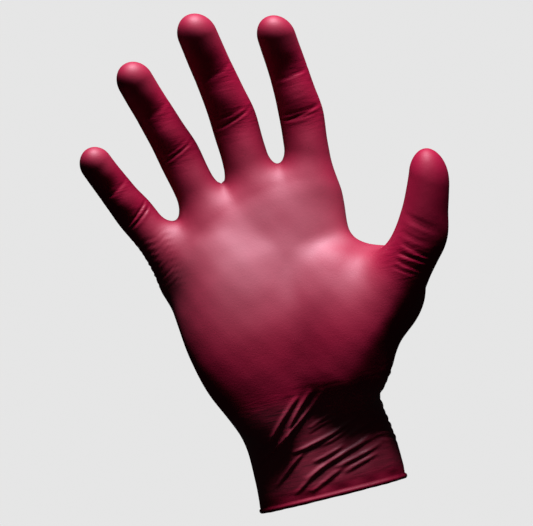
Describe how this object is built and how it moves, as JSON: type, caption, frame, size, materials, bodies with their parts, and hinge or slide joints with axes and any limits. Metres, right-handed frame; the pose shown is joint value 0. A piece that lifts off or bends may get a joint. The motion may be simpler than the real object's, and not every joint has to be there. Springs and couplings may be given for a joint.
{
  "type": "nitrile exam glove",
  "caption": "Right-hand disposable exam glove in its worn form: one thin crimson film, hollow through cuff, palm, fingers and thumb, with a rolled bead at the cuff rim.",
  "frame": {"origin": "centre of the cuff rim, at the lowest edge of the bead, where the wrist goes in", "axes": "+Z from the cuff rim to the fingertips, the palm faces -Y, the thumb is on the +X side"},
  "size_m": [0.1654, 0.0686, 0.2323],
  "materials": {
    "nitrile": "satin crimson nitrile film"
  },
  "bodies": {
    "root": {"glove": "nitrile"}
  },
  "joints": []
}
